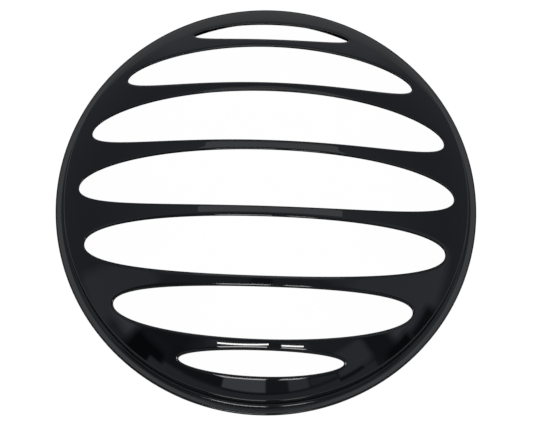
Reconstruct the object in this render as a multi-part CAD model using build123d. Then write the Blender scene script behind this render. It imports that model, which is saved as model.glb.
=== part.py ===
"""Domed headlight grille: one moulding with a mounting flange, a short skirt and a slotted dome.

The frame has its origin at the centre of the flange's underside. +Z points out of the lamp, along the
dome's axis, and the slots run across, along X. All lengths are in millimetres and angles in degrees.
"""
import os
from math import cos, radians, sin, tan

from build123d import *

# Register, the straight land inside the skirt's mouth that slips over the lamp's glass
REGISTER_DIAMETER = 171.4
REGISTER_LENGTH = 3.0

# Mounting flange, the flat ring that seats on the lamp's rim
FLANGE_WIDTH = 4.5  # from the skirt's foot to the outer edge
FLANGE_THICKNESS = 2.2
FLANGE_EDGE_BREAK = 0.7  # flat on the upper outer edge

# Skirt and dome, a drafted wall closed by a spherical cap of the same thickness
WALL = 1.8
SKIRT_HEIGHT = 11.4  # from the flange's underside to the dome's corner
SKIRT_DRAFT = 4.0
DOME_RISE = 28.6  # from the corner to the crown
FOOT_BREAK = 1.4  # gusset where the skirt stands on the flange
CORNER_ROUND = 1.2  # round between the skirt and the dome

# Slots, lens-shaped openings stacked across the dome with even bars between them
BAR_WIDTH = 4.2
CROWN_BAND = 8.94  # solid rim between the dome's corner and the crest of the outermost slot
CREST_REACH = 0.59  # share of a slot's half length over which its crest stays nearly straight
SLOT_EDGE_BREAK = 0.5  # flat on the slots' edges, on the dome's outer face
SLOT_ROWS = (
    # share of the clear height, tips' angle round the dome, rim left beyond the tips, bluntness of the tips
    (24.2, 0.0, 6.95, 0.72),
    (23.65, 17.95, 7.1, 0.71),
    (20.1, 38.6, 7.45, 0.65),
    (9.95, 64.65, 7.75, 0.51),
)

# Sizes that follow from the ones above
register_radius = REGISTER_DIAMETER / 2
wall_run = WALL / cos(radians(SKIRT_DRAFT))  # the skirt's wall measured level
crown_height = SKIRT_HEIGHT + DOME_RISE


def skirt_radius(height):
    """Radius of the skirt's outer face at a height above the flange's underside."""
    return register_radius + wall_run + (REGISTER_LENGTH - height) * tan(radians(SKIRT_DRAFT))


foot_radius = skirt_radius(FLANGE_THICKNESS)
flange_radius = foot_radius + FLANGE_WIDTH
corner_radius = skirt_radius(SKIRT_HEIGHT)
dome_radius = (corner_radius**2 + DOME_RISE**2) / (2 * DOME_RISE)
dome_centre = crown_height - dome_radius


def capped_section(inset, sphere_radius):
    """Half section of the drafted skirt, moved in by the inset and closed by the dome's sphere."""
    skirt = make_face(
        Polyline(
            (0, 0),
            (skirt_radius(0) - inset, 0),
            (skirt_radius(crown_height) - inset, crown_height),
            (0, crown_height),
            close=True,
        )
    )
    return skirt & (Pos(0, dome_centre) * Circle(sphere_radius))


def ring_section(inner_radius, outer_radius, height):
    """Half section of a flat ring that stands on the plane of the flange's underside."""
    middle = Pos((inner_radius + outer_radius) / 2, height / 2)
    return middle * Rectangle(outer_radius - inner_radius, height)


def vertex_at(section, radius, height):
    """Corner of a half section nearest to the given place."""
    return section.vertices().sort_by_distance((radius, height))[0]


def shell():
    """The moulding before its slots are cut: flange, skirt and dome turned about the axis."""
    flange = ring_section(register_radius, flange_radius, FLANGE_THICKNESS)
    outside = capped_section(0, dome_radius) + flange
    outside = fillet(vertex_at(outside, corner_radius, SKIRT_HEIGHT), CORNER_ROUND)
    outside = chamfer(vertex_at(outside, foot_radius, FLANGE_THICKNESS), FOOT_BREAK)
    outside = chamfer(vertex_at(outside, flange_radius, FLANGE_THICKNESS), FLANGE_EDGE_BREAK)
    land = ring_section(register_radius, flange_radius, REGISTER_LENGTH)
    hollow = capped_section(wall_run, dome_radius - WALL) - land
    return revolve(Plane.XZ * (outside - hollow), Axis.Z)


def slot_levels():
    """Lower and upper crest of each slot row, from the middle of the dome outwards."""
    shares = [row[0] for row in SLOT_ROWS]
    clear_height = corner_radius - CROWN_BAND - BAR_WIDTH * (len(SLOT_ROWS) - 1)
    scale = clear_height / (sum(shares) - shares[0] / 2)
    levels = []
    lower = -scale * shares[0] / 2
    for share in shares:
        upper = lower + scale * share
        levels.append((lower, upper))
        lower = upper + BAR_WIDTH
    return levels


def slot_plan(lower, upper, tip_angle, tip_band, bluntness):
    """Plan of one slot: four quarter curves, level at the two crests and upright at the two tips."""
    tip_radius = corner_radius - tip_band
    half_length = tip_radius * cos(radians(tip_angle))
    tip_level = tip_radius * sin(radians(tip_angle))
    tip_rise = bluntness * (upper - lower) / 2
    quarters = []
    for crest, rise in ((upper, tip_rise), (lower, -tip_rise)):
        for tip in (half_length, -half_length):
            quarter = Bezier(
                (0, crest),
                (CREST_REACH * tip, crest),
                (tip, tip_level + rise),
                (tip, tip_level),
            )
            quarters.append(quarter)
    return make_face(quarters)


def slot_cutters():
    """Upright cutters for the slots: the middle one, and a mirrored pair for each row beside it."""
    cutters = []
    for (lower, upper), (_, *tip_shape) in zip(slot_levels(), SLOT_ROWS):
        plan = slot_plan(lower, upper, *tip_shape)
        plans = [plan] if lower < 0 else [plan, mirror(plan, Plane.XZ)]
        cutters += [extrude(outline, crown_height) for outline in plans]
    return cutters


def slot_rims(body):
    """Edges where the slots break through the dome's outer face, which are all of its edges but the circles."""
    domes = body.faces().filter_by(GeomType.SPHERE)
    outer_dome = domes.sort_by(lambda face: face.radius)[-1]
    return outer_dome.edges().filter_by(GeomType.CIRCLE, reverse=True)


def headlight_grille():
    """The finished moulding: the shell with its slots cut and their outer edges broken."""
    body = shell() - slot_cutters()
    return chamfer(slot_rims(body), SLOT_EDGE_BREAK)


os.makedirs("parts", exist_ok=True)
export_step(headlight_grille(), "parts/headlight_grille.step")
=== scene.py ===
"""Scene for the domed headlight grille: the moulding, its gloss finish, the studio and the camera.

The moulding keeps the frame of the solid it stands for: the origin is at the centre of the flange's
underside, +Z points out of the lamp and the slots run along X. Sizes are in millimetres and angles in
degrees until a mesh is made, which is in metres.
"""

import logging
from dataclasses import dataclass
from enum import Enum
from math import atan2, cos, hypot, pi, radians, sin, sqrt, tan
from typing import Any, Callable

import bmesh
import bpy
from mathutils import Matrix, Vector


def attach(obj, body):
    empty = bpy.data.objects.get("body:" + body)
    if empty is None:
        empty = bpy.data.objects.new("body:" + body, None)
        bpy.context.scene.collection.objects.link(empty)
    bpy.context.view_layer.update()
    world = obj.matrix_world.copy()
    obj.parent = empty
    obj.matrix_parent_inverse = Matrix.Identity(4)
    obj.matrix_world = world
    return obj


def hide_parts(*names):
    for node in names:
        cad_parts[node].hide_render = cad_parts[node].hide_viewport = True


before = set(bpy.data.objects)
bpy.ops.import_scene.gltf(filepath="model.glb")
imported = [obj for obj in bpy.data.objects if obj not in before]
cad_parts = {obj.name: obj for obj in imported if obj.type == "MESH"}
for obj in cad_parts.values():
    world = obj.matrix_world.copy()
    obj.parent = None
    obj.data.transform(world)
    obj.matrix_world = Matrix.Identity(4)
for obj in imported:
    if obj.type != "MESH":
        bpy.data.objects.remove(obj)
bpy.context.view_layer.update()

LOG = logging.getLogger("grille_scene")
NODE = "headlight_grille"
WEAR = "edge_wear"  # the mesh attribute that marks the slots' edges, the skirt's foot and the flange
MM = 0.001
CM3 = 1e-6
WELD = 2e-6  # metres, the distance under which the points of two patches are one
HALF_GRID = 0.5  # half the side of the plain grid that each patch is laid out from

# Half a slot's outline runs from nought to one: where its tip is, a place near its upper crest, and
# how many times a search between the two halves its range
TIP = 0.5
NEAR_CREST = 0.95
HALVINGS = 60

# A Mix node has sockets of the same name for each type of value, so they go by number
FACTOR, FLOAT_A, FLOAT_B, COLOUR_A, COLOUR_B = 0, 2, 3, 6, 7
MIXED_FLOAT, MIXED_COLOUR = 0, 2

Line = list[tuple[float, float]]  # points as angle round the axis and distance from it


def linear(hex_colour: str) -> tuple[float, float, float, float]:
    """Turns an sRGB hex value into a linear colour, by the sRGB curve.

    Args:
        hex_colour: the colour as "#rrggbb".

    Returns:
        Red, green, blue and an alpha of one, as a shader's socket takes them.
    """
    channels = []
    for start in (1, 3, 5):
        share = int(hex_colour[start:start + 2], 16) / 255
        channels.append(share / 12.92 if share <= 0.04045 else ((share + 0.055) / 1.055) ** 2.4)
    return (channels[0], channels[1], channels[2], 1.0)


def add_node(
    tree: bpy.types.NodeTree, kind: str, inputs: dict[Any, Any] | None = None, **settings: Any
) -> bpy.types.Node:
    """Adds a node to a tree with its settings, values and links.

    Args:
        tree: the tree that gets the node.
        kind: the node's type.
        inputs: for each input's name or number, the socket that feeds it or the value it holds.
        settings: the node's own properties.

    Returns:
        The new node.
    """
    node = tree.nodes.new(kind)
    for name, value in settings.items():
        setattr(node, name, value)
    for key, value in (inputs or {}).items():
        if isinstance(value, bpy.types.NodeSocket):
            tree.links.new(value, node.inputs[key])
        else:
            node.inputs[key].default_value = value
    return node


def pattern_scale(size_mm: float) -> float:
    """Scale of a texture whose features are this many millimetres across."""
    return 1.0 / (size_mm * MM)


def bend(centre: Vector, size: float, first: float, last: float, steps: int) -> list[Vector]:
    """Follows an arc in a section.

    Args:
        centre: the arc's centre as radius and height.
        size: the arc's radius.
        first: the angle from level at which it starts.
        last: the angle at which it ends.
        steps: how many facets it gets.

    Returns:
        The arc's points as radius and height.
    """
    turns = [radians(first + (last - first) * step / steps) for step in range(steps + 1)]
    return [centre + Vector((cos(turn), sin(turn))) * size for turn in turns]


@dataclass(frozen=True)
class MouldedGlossAbs:
    """Black ABS, injection moulded in a polished tool.

    The eye gets a near black body under a clear gloss: reflections are sharp, but they waver a little
    where the wall sank as it cooled, and the gloss is duller in some patches and along the scuffed
    edges. A few grains of dust lie on it.
    """

    name: str = "moulded_gloss_black_abs"
    colour: str = "#08080a"
    dust_colour: str = "#74736f"
    ior: float = 1.5
    gloss: tuple[float, float] = (0.014, 0.022)  # roughness of the best and the dullest patches
    patch_mm: float = 34.0
    patch_detail: float = 3.0
    scuffed: tuple[float, float] = (0.05, 0.08)  # roughness along the edges
    scuff_mm: float = 3.0
    scuff_detail: float = 2.0
    noise_span: tuple[float, float] = (0.35, 0.7)  # the noise's values at the best and the dullest
    sink_mm: float = 13.0
    sink_depth_mm: float = 0.0003
    sink_detail: float = 1.0
    grain_mm: float = 0.13
    grain_spacing_mm: float = 4.5
    grain_core: float = 0.4  # share of a grain's reach that has the whole cover
    dust_cover: float = 0.5

    def material(self) -> bpy.types.Material:
        """Makes the finish.

        Returns:
            The material, with its patterns laid out on the object's own coordinates.
        """
        material = bpy.data.materials.new(self.name)
        material.use_nodes = True
        tree = material.node_tree
        tree.nodes.clear()
        place = add_node(tree, "ShaderNodeTexCoord").outputs["Object"]

        sink = add_node(
            tree, "ShaderNodeTexNoise",
            {"Vector": place, "Scale": pattern_scale(self.sink_mm), "Detail": self.sink_detail})
        bump = add_node(
            tree, "ShaderNodeBump",
            {"Height": sink.outputs["Fac"], "Distance": self.sink_depth_mm * MM})

        levels = []
        for size_mm, detail, (best, dullest) in (
            (self.patch_mm, self.patch_detail, self.gloss),
            (self.scuff_mm, self.scuff_detail, self.scuffed),
        ):
            noise = add_node(
                tree, "ShaderNodeTexNoise",
                {"Vector": place, "Scale": pattern_scale(size_mm), "Detail": detail})
            level = add_node(
                tree, "ShaderNodeMapRange",
                {"Value": noise.outputs["Fac"],
                 "From Min": self.noise_span[0], "From Max": self.noise_span[1],
                 "To Min": best, "To Max": dullest})
            levels.append(level.outputs["Result"])
        wear = add_node(tree, "ShaderNodeAttribute", attribute_name=WEAR)
        roughness = add_node(
            tree, "ShaderNodeMix",
            {FACTOR: wear.outputs["Fac"], FLOAT_A: levels[0], FLOAT_B: levels[1]}, data_type="FLOAT")

        grains = add_node(
            tree, "ShaderNodeTexVoronoi",
            {"Vector": place, "Scale": pattern_scale(self.grain_spacing_mm)})
        reach = self.grain_mm / self.grain_spacing_mm
        dust = add_node(
            tree, "ShaderNodeMapRange",
            {"Value": grains.outputs["Distance"],
             "From Min": reach, "From Max": self.grain_core * reach,
             "To Min": 0.0, "To Max": self.dust_cover})
        colour = add_node(
            tree, "ShaderNodeMix",
            {FACTOR: dust.outputs["Result"],
             COLOUR_A: linear(self.colour), COLOUR_B: linear(self.dust_colour)}, data_type="RGBA")

        shader = add_node(
            tree, "ShaderNodeBsdfPrincipled",
            {"Base Color": colour.outputs[MIXED_COLOUR], "Roughness": roughness.outputs[MIXED_FLOAT],
             "Normal": bump.outputs["Normal"], "IOR": self.ior})
        add_node(tree, "ShaderNodeOutputMaterial", {"Surface": shader.outputs["BSDF"]})
        return material


@dataclass(frozen=True)
class WhitePaper:
    """Matt white paper under the part, white to the camera with a soft shadow.

    Under the part it has painted shade: a darker colour, and no glow for the gloss, which sees it dark
    there. Its glow for the camera is raised there, painted light that keeps it white through the slots.
    Beside the part its glow for the gloss is a painted pool of light, pale near the part and duller far
    away.
    """

    name: str = "matt_white_paper"
    colour: str = "#a0a0a0"
    # painted shade: the paper's colour under the part, darker than its own colour
    painted_shade_colour: str = "#2c2c2c"
    lift_colour: str = "#ffffff"
    lift: float = 0.93
    # painted light: the camera's lift under the part, raised so that the darker sheet still shows white
    painted_fill_lift: float = 0.985
    # painted shade: it lies under the part and fades out across this span
    painted_shade_mm: tuple[float, float] = (88.0, 112.0)  # where the part's own shade ends, from its axis
    # painted pool of light in the gloss: the paper's glow for glossy rays goes from near_level beside the
    # part to far_level far away
    fade_mm: tuple[float, float] = (250.0, 1200.0)
    near_level: float = 0.28
    far_level: float = 0.17

    def material(self) -> bpy.types.Material:
        """Makes the paper.

        Returns:
            The material: a matt sheet that is lifted to white for what sees it straight or mirrored.
        """
        material = bpy.data.materials.new(self.name)
        material.use_nodes = True
        tree = material.node_tree
        tree.nodes.clear()
        place = add_node(tree, "ShaderNodeTexCoord").outputs["Object"]
        reach = add_node(
            tree, "ShaderNodeVectorMath", {0: place}, operation="LENGTH").outputs["Value"]
        # painted shade: nought under the part, one beyond its shade
        shade = add_node(
            tree, "ShaderNodeMapRange",
            {"Value": reach, "From Min": self.painted_shade_mm[0] * MM, "From Max": self.painted_shade_mm[1] * MM}
        ).outputs["Result"]
        # painted pool of light in the gloss: the glow for glossy rays falls off with distance from the
        # part
        fade = add_node(
            tree, "ShaderNodeMapRange",
            {"Value": reach, "From Min": self.fade_mm[0] * MM, "From Max": self.fade_mm[1] * MM,
             "To Min": self.near_level, "To Max": self.far_level})
        # painted shade in the gloss: the paper's glow for glossy rays is nought under the part
        mirrored = add_node(
            tree, "ShaderNodeMath", {0: shade, 1: fade.outputs["Result"]}, operation="MULTIPLY")

        path = add_node(tree, "ShaderNodeLightPath")
        turned = add_node(
            tree, "ShaderNodeMath",
            {0: path.outputs["Is Glossy Ray"], 1: path.outputs["Is Transmission Ray"]},
            operation="MAXIMUM")
        # painted light: the camera's lift is raised under the part
        lift = add_node(
            tree, "ShaderNodeMix",
            {FACTOR: shade, FLOAT_A: self.painted_fill_lift, FLOAT_B: self.lift}, data_type="FLOAT")
        straight = add_node(
            tree, "ShaderNodeMath",
            {0: path.outputs["Is Camera Ray"], 1: lift.outputs[MIXED_FLOAT]}, operation="MULTIPLY")
        glow = add_node(
            tree, "ShaderNodeMath",
            {0: turned.outputs["Value"], 1: mirrored.outputs["Value"], 2: straight.outputs["Value"]},
            operation="MULTIPLY_ADD")
        lifted = add_node(
            tree, "ShaderNodeEmission",
            {"Color": linear(self.lift_colour), "Strength": glow.outputs["Value"]})

        # painted shade: the paper's colour is darker under the part
        tone = add_node(
            tree, "ShaderNodeMix",
            {FACTOR: shade, COLOUR_A: linear(self.painted_shade_colour), COLOUR_B: linear(self.colour)},
            data_type="RGBA")
        sheet = add_node(tree, "ShaderNodeBsdfDiffuse", {"Color": tone.outputs[MIXED_COLOUR]})
        both = add_node(
            tree, "ShaderNodeAddShader",
            {0: sheet.outputs["BSDF"], 1: lifted.outputs["Emission"]})
        add_node(tree, "ShaderNodeOutputMaterial", {"Surface": both.outputs["Shader"]})
        return material


class DomeFace(Enum):
    """The two faces of the dome's wall, with the side that each one looks to."""

    OUTER = 1
    INNER = -1


@dataclass(frozen=True)
class DomeSkin:
    """One face of the dome's wall, a sphere, with the soft edge that runs along the slots on it.

    The edge turns from the sphere into the slot's wall. On the outer face it reaches further along the
    face than it goes down the wall, so it leaves the sphere slowly and turns tightly into the wall.
    """

    face: DomeFace
    centre: Vector
    radius: float
    edge_reach: float
    edge_depth: float

    def lift(self, plan: Vector) -> Vector:
        """The point of the sphere over a point of the plan."""
        height = self.centre.z + sqrt(self.radius**2 - plan.length_squared)
        return Vector((plan.x, plan.y, height))

    def edge(self, plan: Vector, normal: Vector, steps: int) -> list[Vector]:
        """Turns from the sphere into the slot's wall on a quarter of an ellipse that touches both.

        Args:
            plan: the point of the slot's plan.
            normal: the plan's normal there, which points away from the slot.
            steps: how many facets the edge gets.

        Returns:
            The points of the edge, from where it leaves the sphere to where it meets the slot's wall.
        """
        leave = self.lift(plan + normal * self.edge_reach)
        upright = leave - self.centre
        fall = normal.dot(upright.xy) / upright.z
        along = Vector((normal.x, normal.y, -fall)) * self.edge_reach
        corner = leave - along
        down = Vector((0.0, 0.0, -self.face.value * self.edge_depth))
        turns = [pi / 2 * step / steps for step in range(steps + 1)]
        return [corner + along * (1 - sin(turn)) + down * (1 - cos(turn)) for turn in turns]


@dataclass(frozen=True)
class DomeStretch:
    """A stretch of one face of the dome between two lines with the same number of points."""

    skin: DomeSkin
    inside: Line
    outside: Line
    rows: int

    def place(self, column: int, row: int) -> Vector:
        """Goes from the inside line to the outside one, evenly in angle and in distance.

        Args:
            column: number of the point on both lines.
            row: number of steps from the inside line.

        Returns:
            The point of the sphere there.
        """
        share = row / self.rows
        turn = self.inside[column][0] * (1 - share) + self.outside[column][0] * share
        reach = self.inside[column][1] * (1 - share) + self.outside[column][1] * share
        return self.skin.lift(Vector((sin(turn), cos(turn))) * reach)


@dataclass(frozen=True)
class SlotPlan:
    """The right half of a slot's plan: two curves, level at the crests, that meet upright at the tip."""

    lower: float
    upper: float
    half_length: float
    tip_level: float
    tip_rise: float
    crest_reach: float

    def at(self, turn: float) -> tuple[Vector, Vector]:
        """Goes along the outline from the lower crest, over the tip at a half, to the upper crest at one.

        Args:
            turn: how far along.

        Returns:
            The point and the normal there, which points away from the slot.
        """
        above = turn > TIP
        crest = self.upper if above else self.lower
        rise = self.tip_rise if above else -self.tip_rise
        share = (1 - turn if above else turn) / TIP
        rest = 1 - share
        start = Vector((0.0, crest))
        level = Vector((self.crest_reach * self.half_length, crest))
        upright = Vector((self.half_length, self.tip_level + rise))
        tip = Vector((self.half_length, self.tip_level))
        point = start * rest**3 + level * (3 * rest**2 * share)
        point += upright * (3 * rest * share**2) + tip * share**3
        along = (level - start) * rest**2 + (upright - level) * (2 * rest * share)
        along += (tip - upright) * share**2
        normal = Vector((-along.y, along.x)) if above else Vector((along.y, -along.x))
        return point, normal.normalized()

    def farthest_turn(self) -> float:
        """Finds where the outline lies farthest from the dome's axis, so its normal points straight out.

        Returns:
            How far along the outline that is.
        """
        low, high = TIP, NEAR_CREST
        for _ in range(HALVINGS):
            turn = (low + high) / 2
            point, normal = self.at(turn)
            if normal.x * point.y - normal.y * point.x > 0:
                low = turn
            else:
                high = turn
        return low


@dataclass
class GrilleMoulding:
    """The whole grille: flange, skirt and slotted dome, with the rounds that the solid has as flats."""

    register_radius: float = 85.7
    register_length: float = 3.0
    flange_width: float = 4.5
    flange_thickness: float = 2.2
    flange_round: float = 0.8
    under_round: float = 0.25
    wall: float = 1.8
    skirt_height: float = 11.4
    skirt_draft: float = 4.0
    dome_rise: float = 28.6
    foot_round: float = 2.4
    corner_round: float = 1.2
    bar_width: float = 4.2
    crown_band: float = 8.94
    crest_reach: float = 0.59
    edge_reach: float = 1.4
    edge_depth: float = 0.6
    inner_round: float = 0.8
    # share of the clear height, tips' angle round the dome, rim beyond the tips, bluntness of the tips
    slot_rows: tuple[tuple[float, float, float, float], ...] = (
        (24.2, 0.0, 6.95, 0.72),
        (23.65, 17.95, 7.1, 0.71),
        (20.1, 38.6, 7.45, 0.65),
        (9.95, 64.65, 7.75, 0.51),
    )
    # facets along half a slot's edge, from a slot's tip to the rim, across a bar, and round the edges
    along: int = 60
    beyond: int = 8
    across: int = 12
    round_steps: int = 8
    inner_steps: int = 5
    worn_from: int = 2  # row of a slot's soft edge from which it is scuffed
    area_weight: int = 50  # how much a large face counts in the normals at its corners

    def __post_init__(self) -> None:
        """Works out the sizes that follow from the fields."""
        slope = radians(self.skirt_draft)
        run = self.wall / cos(slope)
        self.base_radius = self.register_radius + run + self.register_length * tan(slope)
        self.inner_base = self.base_radius - run
        self.corner_radius = self.base_radius - self.skirt_height * tan(slope)
        foot_radius = self.base_radius - self.flange_thickness * tan(slope)
        self.flange_radius = foot_radius + self.flange_width
        radius = (self.corner_radius**2 + self.dome_rise**2) / (2 * self.dome_rise)
        centre = Vector((0.0, 0.0, self.skirt_height + self.dome_rise - radius))
        inner_radius = radius - self.wall
        self.skins = (
            DomeSkin(DomeFace.OUTER, centre, radius, self.edge_reach, self.edge_depth),
            DomeSkin(DomeFace.INNER, centre, inner_radius, self.inner_round, self.inner_round),
        )
        self.slots = self._slot_plans()
        self.splits = [slot.farthest_turn() for slot in self.slots]

    def _slot_plans(self) -> list[SlotPlan]:
        """Stacks the slots from the middle of the dome outwards, with even bars between them.

        Returns:
            The slots of the upper half, the middle one first.
        """
        shares = [row[0] for row in self.slot_rows]
        clear = self.corner_radius - self.crown_band - self.bar_width * (len(shares) - 1)
        scale = clear / (sum(shares) - shares[0] / 2)
        plans = []
        lower = -scale * shares[0] / 2
        for share, tip_angle, tip_band, bluntness in self.slot_rows:
            upper = lower + scale * share
            tip_radius = self.corner_radius - tip_band
            plan = SlotPlan(
                lower=lower,
                upper=upper,
                half_length=tip_radius * cos(radians(tip_angle)),
                tip_level=tip_radius * sin(radians(tip_angle)),
                tip_rise=bluntness * (upper - lower) / 2,
                crest_reach=self.crest_reach,
            )
            plans.append(plan)
            lower = upper + self.bar_width
        return plans

    def _lay(
        self,
        bm: bmesh.types.BMesh,
        columns: int,
        rows: int,
        place: Callable[[int, int], Vector],
        worn: range = range(0),
    ) -> None:
        """Lays a grid over a stretch of the surface.

        Args:
            bm: the mesh that gets it.
            columns: facets one way.
            rows: facets the other way.
            place: gives the point, in millimetres, for a column and a row.
            worn: the rows that are marked as worn.
        """
        wear = bm.verts.layers.float[WEAR]
        made = bmesh.ops.create_grid(bm, x_segments=columns, y_segments=rows, size=HALF_GRID)
        for vert in made["verts"]:
            column = round((vert.co.x + HALF_GRID) * columns)
            row = round((vert.co.y + HALF_GRID) * rows)
            vert.co = place(column, row) * MM
            vert[wear] = float(row in worn)

    def _chain(self, skin: DomeSkin, row: int, start: float, ring: float, beyond: int) -> Line:
        """Follows a slot's soft edge from the middle to its farthest point, and goes on to the rim.

        Args:
            skin: the face of the dome.
            row: the slot's number from the middle.
            start: nought for the slot's lower edge, one for its upper edge.
            ring: radius of the rim where the dome ends.
            beyond: steps from the slot's farthest point to the rim.

        Returns:
            The points where the edge leaves the face, and those beyond them.
        """
        slot, split = self.slots[row], self.splits[row]
        points = []
        for step in range(self.along + 1):
            plan, normal = slot.at(start + (split - start) * step / self.along)
            leave = skin.edge(plan, normal, 1)[0]
            points.append((atan2(leave.x, leave.y), hypot(leave.x, leave.y)))
        turn, reach = points[-1]
        points += [(turn, reach + (ring - reach) * step / beyond) for step in range(1, beyond + 1)]
        return points

    def _lay_dome(self, bm: bmesh.types.BMesh, skin: DomeSkin, ring: float) -> None:
        """Lays a quarter of one face of the dome: the bars, and the crown beyond the last slot.

        Args:
            bm: the mesh that gets it.
            skin: the face of the dome.
            ring: radius of the rim where the dome ends.
        """
        final = len(self.slots) - 1
        for row in range(final):
            inside = self._chain(skin, row, 1.0, ring, self.beyond)
            outside = self._chain(skin, row + 1, 0.0, ring, self.beyond)
            bar = DomeStretch(skin, inside, outside, self.across)
            self._lay(bm, self.along + self.beyond, self.across, bar.place)
        edge = self._chain(skin, final, 1.0, ring, 1)[:-1]
        # the rim keeps the outer face's angles, so that both faces meet it at the same points
        rim = [(turn, ring) for turn, _ in self._chain(self.skins[0], final, 1.0, ring, 1)[:-1]]
        self._lay(bm, self.along, self.beyond, DomeStretch(skin, edge, rim, self.beyond).place)

    def _ring_turns(self) -> list[float]:
        """Angles round the axis at which the dome's facets meet the rim, from the slots' axis to the top.

        Returns:
            The angles, measured from +Y towards +X.
        """
        chains = [
            self._chain(self.skins[0], row, 1.0, self.corner_radius, 1)
            for row in range(len(self.slots))]
        ends = [chain[-1][0] for chain in chains]
        turns = []
        for inside, outside in zip(ends, ends[1:]):
            gap = outside - inside
            turns += [inside + gap * step / self.across for step in range(self.across)]
        return turns + [turn for turn, _ in reversed(chains[-1][:-1])]

    def _lay_slot_walls(self, bm: bmesh.types.BMesh) -> None:
        """Lays the slots' walls with their soft edges, for a quarter of the dome.

        Args:
            bm: the mesh that gets them.
        """
        outer, inner = self.skins
        for row, (slot, split) in enumerate(zip(self.slots, self.splits)):
            for start in (1.0,) if row == 0 else (0.0, 1.0):
                lines = []
                for step in range(self.along + 1):
                    plan, normal = slot.at(start + (split - start) * step / self.along)
                    line = outer.edge(plan, normal, self.round_steps)
                    line += reversed(inner.edge(plan, normal, self.inner_steps))
                    lines.append(line)
                levels = len(lines[0]) - 1
                self._lay(
                    bm, self.along, levels, lambda column, level: lines[column][level],
                    range(self.worn_from, levels))

    def _corner(self, skin: DomeSkin, base: float, size: float) -> list[Vector]:
        """Rounds the corner where a face of the skirt meets the dome.

        Args:
            skin: the face of the dome.
            base: radius of the skirt's face at the flange's underside.
            size: radius of the round.

        Returns:
            The round's points as radius and height, from the dome to the skirt.
        """
        slope = radians(self.skirt_draft)
        out = Vector((cos(slope), sin(slope)))
        up = Vector((-sin(slope), cos(slope)))
        middle = Vector((0.0, skin.centre.z))
        foot = out * (base * cos(slope) - size) - middle
        lean = foot.dot(up)
        rise = -lean + sqrt(lean**2 - foot.length_squared + (skin.radius - size) ** 2)
        ball = foot + up * rise
        leave = ball.normalized()
        points = []
        for step in range(self.round_steps + 1):
            share = step / self.round_steps
            way = (leave * (1 - share) + out * share).normalized()
            points.append(ball + way * size + middle)
        return points

    def _section(self) -> list[Vector]:
        """Follows the rim's section from the dome's outer face, round the flange, to its inner face.

        Returns:
            The section's points as radius and height.
        """
        slope = radians(self.skirt_draft)
        foot_level = self.flange_thickness + self.foot_round
        foot_reach = self.base_radius * cos(slope) + self.foot_round - foot_level * sin(slope)
        foot = Vector((foot_reach / cos(slope), foot_level))
        edge = Vector((
            self.flange_radius - self.flange_round, self.flange_thickness - self.flange_round))
        under = Vector((self.flange_radius - self.under_round, self.under_round))
        mouth = Vector((self.register_radius + self.under_round, self.under_round))
        section = self._corner(self.skins[0], self.base_radius, self.corner_round)
        section += bend(foot, self.foot_round, 180 + self.skirt_draft, 270, self.round_steps)
        section += bend(edge, self.flange_round, 90, 0, self.round_steps)
        section += bend(under, self.under_round, 0, -90, self.inner_steps)
        section += bend(mouth, self.under_round, 270, 180, self.inner_steps)
        section.append(Vector((self.register_radius, self.register_length)))
        section += reversed(self._corner(self.skins[1], self.inner_base, self.inner_round))
        return section

    def _lay_rim(self, bm: bmesh.types.BMesh, section: list[Vector]) -> None:
        """Lays a quarter of the rim, with its facets in line with the dome's.

        The second and third rounds of the section, at the skirt's foot and on the flange's edge, are
        worn but for their first and last points.

        Args:
            bm: the mesh that gets it.
            section: the rim's section.
        """
        ways = [Vector((sin(turn), cos(turn))) for turn in self._ring_turns()]
        round_points = self.round_steps + 1
        self._lay(
            bm, len(ways) - 1, len(section) - 1,
            lambda column, level: (ways[column] * section[level].x).to_3d()
            + Vector((0.0, 0.0, section[level].y)),
            range(round_points + 1, 3 * round_points - 1))

    def build(self) -> bpy.types.Object:
        """Builds the moulding as one closed mesh: a quarter of it, mirrored both ways.

        Returns:
            The piece, at the origin.
        """
        bm = bmesh.new()
        bm.verts.layers.float.new(WEAR)
        section = self._section()
        for skin, ring in zip(self.skins, (section[0].x, section[-1].x)):
            self._lay_dome(bm, skin, ring)
        self._lay_slot_walls(bm)
        self._lay_rim(bm, section)
        bmesh.ops.remove_doubles(bm, verts=bm.verts, dist=WELD)
        for axis in ("X", "Y"):
            laid = bm.verts[:] + bm.edges[:] + bm.faces[:]
            bmesh.ops.mirror(bm, geom=laid, axis=axis, merge_dist=WELD)
        bmesh.ops.remove_doubles(bm, verts=bm.verts, dist=WELD)
        bmesh.ops.recalc_face_normals(bm, faces=bm.faces)
        for face in bm.faces:
            face.smooth = True
        open_edges = sum(1 for edge in bm.edges if not edge.is_manifold)
        volume = bm.calc_volume() / CM3
        LOG.info("moulding: %d faces, %d open edges, %.1f cm3", len(bm.faces), open_edges, volume)
        mesh = bpy.data.meshes.new("grille_moulding")
        bm.to_mesh(mesh)
        bm.free()
        piece = bpy.data.objects.new("grille_moulding", mesh)
        bpy.context.scene.collection.objects.link(piece)
        return piece

    def dress(self, piece: bpy.types.Object, finish: MouldedGlossAbs) -> None:
        """Gives the moulding its finish, and keeps its broad faces true where they run into the rounds.

        Args:
            piece: the moulding.
            finish: the plastic it is moulded in.
        """
        piece.data.materials.append(finish.material())
        normals = piece.modifiers.new("true_faces", "WEIGHTED_NORMAL")
        normals.mode = "FACE_AREA"
        normals.weight = self.area_weight


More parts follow.
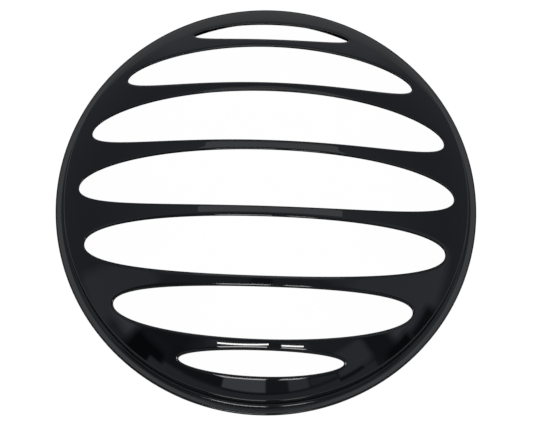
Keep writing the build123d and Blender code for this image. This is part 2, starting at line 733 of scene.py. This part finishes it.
@dataclass(frozen=True)
class LightCard:
    """A flat soft light in a level plane far overhead.

    Its ends and its depth are slopes seen from the part: metres sideways for each metre up.
    """

    name: str
    left: tuple[float, float]
    right: tuple[float, float]
    depth: float
    brightness: float

    def hang(self, height: float, colour: str) -> bpy.types.Object:
        """Hangs the light.

        Args:
            height: how far overhead, in metres.
            colour: the light's colour.

        Returns:
            The lamp.
        """
        left, right = Vector(self.left) * height, Vector(self.right) * height
        middle, along = (left + right) / 2, right - left
        lamp = bpy.data.lights.new(self.name, "AREA")
        lamp.shape = "RECTANGLE"
        lamp.size = along.length
        lamp.size_y = self.depth * height
        lamp.color = linear(colour)[:3]
        lamp.energy = self.brightness * pi * lamp.size * lamp.size_y
        hung = bpy.data.objects.new(self.name, lamp)
        turn = Matrix.Rotation(atan2(along.y, along.x), 4, "Z")
        hung.matrix_world = Matrix.Translation((middle.x, middle.y, height)) @ turn
        bpy.context.scene.collection.objects.link(hung)
        return hung


@dataclass(frozen=True)
class RoomPatch:
    """A stretch of the room with a brightness of its own.

    Its turn is measured round the part from the front towards the right, its lean from straight
    overhead, and the blur is half the width of its soft border.
    """

    name: str
    turn: tuple[float, float]
    lean: tuple[float, float]
    grey: float
    blur: float = 1.0


@dataclass
class Studio:
    """The white paper, the room round it and the lights. Lengths are in metres here.

    The panel lights the part from overhead, and the strips show on the lowest bar. The panes stand
    where no face of the dome mirrors them, and draw thin lines along the soft edges.
    """

    floor_size: float = 12.0
    floor_gap: float = 0.0002
    light_height: float = 20.0
    card_colour: str = "#fffefc"
    room_colour: str = "#e8f1ff"
    room_grey: float = 0.29
    # from the back to the front: each patch covers those before it
    patches: tuple[RoomPatch, ...] = (
        RoomPatch("ceiling", (-185.0, 185.0), (-99.0, 47.0), 0.51, 22.0),
        RoomPatch("back_wall_right", (150.0, 200.0), (73.0, 96.0), 0.46, 5.0),
        RoomPatch("back_wall_left", (-200.0, -150.0), (73.0, 96.0), 0.46, 5.0),
        RoomPatch("front_wall", (-66.0, 52.0), (12.0, 62.0), 0.28, 5.0),
        RoomPatch("behind_the_camera", (-14.0, 9.0), (13.0, 29.0), 0.12, 2.5),
        RoomPatch("left_wall", (-79.0, -62.0), (45.0, 75.0), 0.53, 2.0),
        RoomPatch("left_corner", (-57.0, -30.0), (46.0, 62.0), 0.13, 4.0),
        RoomPatch("left_wall_light", (-64.0, -53.0), (60.0, 67.5), 0.81, 2.0),
        RoomPatch("left_corner_low", (-53.2, -37.5), (61.3, 75.0), 0.03, 2.0),
        RoomPatch("right_wall", (53.0, 90.0), (39.0, 73.0), 0.58, 2.0),
        RoomPatch("right_wall_light", (54.5, 61.0), (61.0, 66.5), 0.77, 2.0),
        RoomPatch("right_corner", (43.5, 54.0), (52.0, 72.0), 0.14, 2.0),
        RoomPatch("right_corner_low", (48.0, 59.5), (67.2, 76.0), 0.04, 1.5),
        RoomPatch("right_wall_foot", (59.0, 71.0), (69.4, 76.0), 0.08, 1.5),
        RoomPatch("over_the_windows", (-26.0, 22.0), (42.0, 50.0), 0.44, 2.0),
        RoomPatch("table", (-43.0, 44.0), (66.3, 72.0), 0.40, 0.6),
        RoomPatch("table_edge", (-37.5, 31.0), (64.6, 67.0), 0.40, 0.4),
        RoomPatch("left_sill", (-37.5, -14.5), (56.0, 64.2), 0.12, 0.8),
        RoomPatch("window_frame", (-14.5, 31.0), (56.0, 64.5), 0.07, 0.4),
        RoomPatch("right_door", (31.0, 44.2), (55.0, 64.8), 0.55, 1.2),
        RoomPatch("door_foot", (30.0, 39.5), (64.8, 66.2), 0.10, 0.4),
        RoomPatch("window_gap", (1.9, 10.6), (56.0, 64.0), 0.19, 0.5),
        RoomPatch("left_window", (-14.5, 1.9), (56.0, 63.7), 1.01, 0.4),
        RoomPatch("right_window", (10.6, 18.5), (56.0, 63.9), 0.63, 0.5),
        RoomPatch("right_blind", (18.5, 30.0), (59.5, 63.9), 0.37, 1.0),
        RoomPatch("window_post", (3.4, 9.2), (42.0, 50.0), 0.24, 0.5),
    )
    cards: tuple[LightCard, ...] = (
        LightCard("ceiling_panel_near", (-0.465, 0.402), (0.533, 0.402), 0.676, 0.63),
        LightCard("ceiling_panel_far", (-0.465, 1.085), (0.533, 1.085), 0.69, 0.35),
        LightCard("strip_left", (-0.401, -1.024), (0.058, -0.987), 0.019, 26.0),
        LightCard("strip_right", (0.172, -1.005), (0.377, -1.033), 0.019, 26.0),
        LightCard("pane_left", (-0.43, -1.38), (0.05, -1.38), 0.42, 9.5),
        LightCard("pane_right", (0.19, -1.38), (0.43, -1.38), 0.42, 8.0),
    )

    def lay_floor(self) -> bpy.types.Object:
        """Lays the white paper just under the part.

        Returns:
            The floor.
        """
        bm = bmesh.new()
        bmesh.ops.create_grid(bm, x_segments=1, y_segments=1, size=self.floor_size / 2)
        bmesh.ops.translate(bm, verts=bm.verts, vec=(0.0, 0.0, -self.floor_gap))
        mesh = bpy.data.meshes.new("floor")
        bm.to_mesh(mesh)
        bm.free()
        mesh.materials.append(WhitePaper().material())
        floor = bpy.data.objects.new("floor", mesh)
        bpy.context.scene.collection.objects.link(floor)
        return floor

    def paint_room(self) -> bpy.types.World:
        """Paints the room: plain grey with its paler and darker stretches.

        Returns:
            The world.
        """
        world = bpy.data.worlds.new("studio_room")
        world.use_nodes = True
        tree = world.node_tree
        tree.nodes.clear()
        way = add_node(tree, "ShaderNodeTexCoord").outputs["Generated"]
        parts = add_node(tree, "ShaderNodeSeparateXYZ", {"Vector": way}).outputs
        front = add_node(tree, "ShaderNodeMath", {0: parts["Y"], 1: -1.0}, operation="MULTIPLY")
        turn = add_node(
            tree, "ShaderNodeMath", {0: parts["X"], 1: front.outputs["Value"]}, operation="ARCTAN2")
        lean = add_node(tree, "ShaderNodeMath", {0: parts["Z"]}, operation="ARCCOSINE")
        grey: Any = self.room_grey
        for patch in self.patches:
            cover: Any = 1.0
            for angle, (low, high) in ((turn, patch.turn), (lean, patch.lean)):
                for border, blur in ((low, patch.blur), (high, -patch.blur)):
                    step = add_node(
                        tree, "ShaderNodeMapRange",
                        {"Value": angle.outputs["Value"],
                         "From Min": radians(border - blur), "From Max": radians(border + blur)})
                    both = add_node(
                        tree, "ShaderNodeMath", {0: cover, 1: step.outputs["Result"]},
                        operation="MULTIPLY")
                    cover = both.outputs["Value"]
            painted = add_node(
                tree, "ShaderNodeMix", {FACTOR: cover, FLOAT_A: grey, FLOAT_B: patch.grey},
                data_type="FLOAT", label=patch.name)
            grey = painted.outputs[MIXED_FLOAT]
        back = add_node(
            tree, "ShaderNodeBackground", {"Color": linear(self.room_colour), "Strength": grey})
        add_node(tree, "ShaderNodeOutputWorld", {"Surface": back.outputs["Background"]})
        bpy.context.scene.world = world
        return world

    def build(self) -> None:
        """Lays the floor, paints the room and hangs the lights."""
        floor, room = self.lay_floor(), self.paint_room()
        LOG.info("studio: %s and %s with %d patches", floor.name, room.name, len(self.patches))
        for card in self.cards:
            lamp = card.hang(self.light_height, self.card_colour)
            LOG.info("light %s: %.2f W", lamp.name, lamp.data.energy)


@dataclass(frozen=True)
class PhotoCamera:
    """The camera where the photograph was taken from, fitted to the rim, the corner and the slots."""

    elevation: float = 74.484
    roll: float = 1.806
    distance: float = 496.5
    aim: tuple[float, float, float] = (0.25, -4.246, 0.0)
    focal_px: float = 1132.7
    image_width_px: float = 533.0
    sensor_width: float = 36.0
    nearest: float = 10.0  # the camera sees nothing closer than this

    def place(self) -> bpy.types.Object:
        """Places the camera.

        Returns:
            The camera, made the scene's own.
        """
        rise = radians(self.elevation)
        back = Vector((0.0, -cos(rise), sin(rise)))
        right = Vector((1.0, 0.0, 0.0))
        up = back.cross(right)
        lean = radians(self.roll)
        across = right * cos(lean) + up * sin(lean)
        upwards = up * cos(lean) - right * sin(lean)
        turn = Matrix((across, upwards, back)).transposed()
        data = bpy.data.cameras.new("photo_camera")
        data.sensor_width = self.sensor_width
        data.lens = self.sensor_width * self.focal_px / self.image_width_px
        data.clip_start = self.nearest * MM
        camera = bpy.data.objects.new("photo_camera", data)
        spot = (Vector(self.aim) + back * self.distance) * MM
        camera.matrix_world = Matrix.Translation(spot) @ turn.to_4x4()
        bpy.context.scene.collection.objects.link(camera)
        bpy.context.scene.camera = camera
        return camera


def main() -> None:
    """Builds the grille, its studio and the camera."""
    logging.basicConfig(level=logging.INFO, format="%(name)s: %(message)s")
    bpy.context.scene.view_settings.view_transform = "Standard"

    moulding = GrilleMoulding()
    piece = moulding.build()
    moulding.dress(piece, MouldedGlossAbs())
    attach(piece, "root")
    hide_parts(NODE)
    LOG.info("piece %s stands for %s", piece.name, NODE)

    Studio().build()
    camera = PhotoCamera().place()
    LOG.info("camera at %s", tuple(round(c, 4) for c in camera.location))


if __name__ == "__main__":
    main()
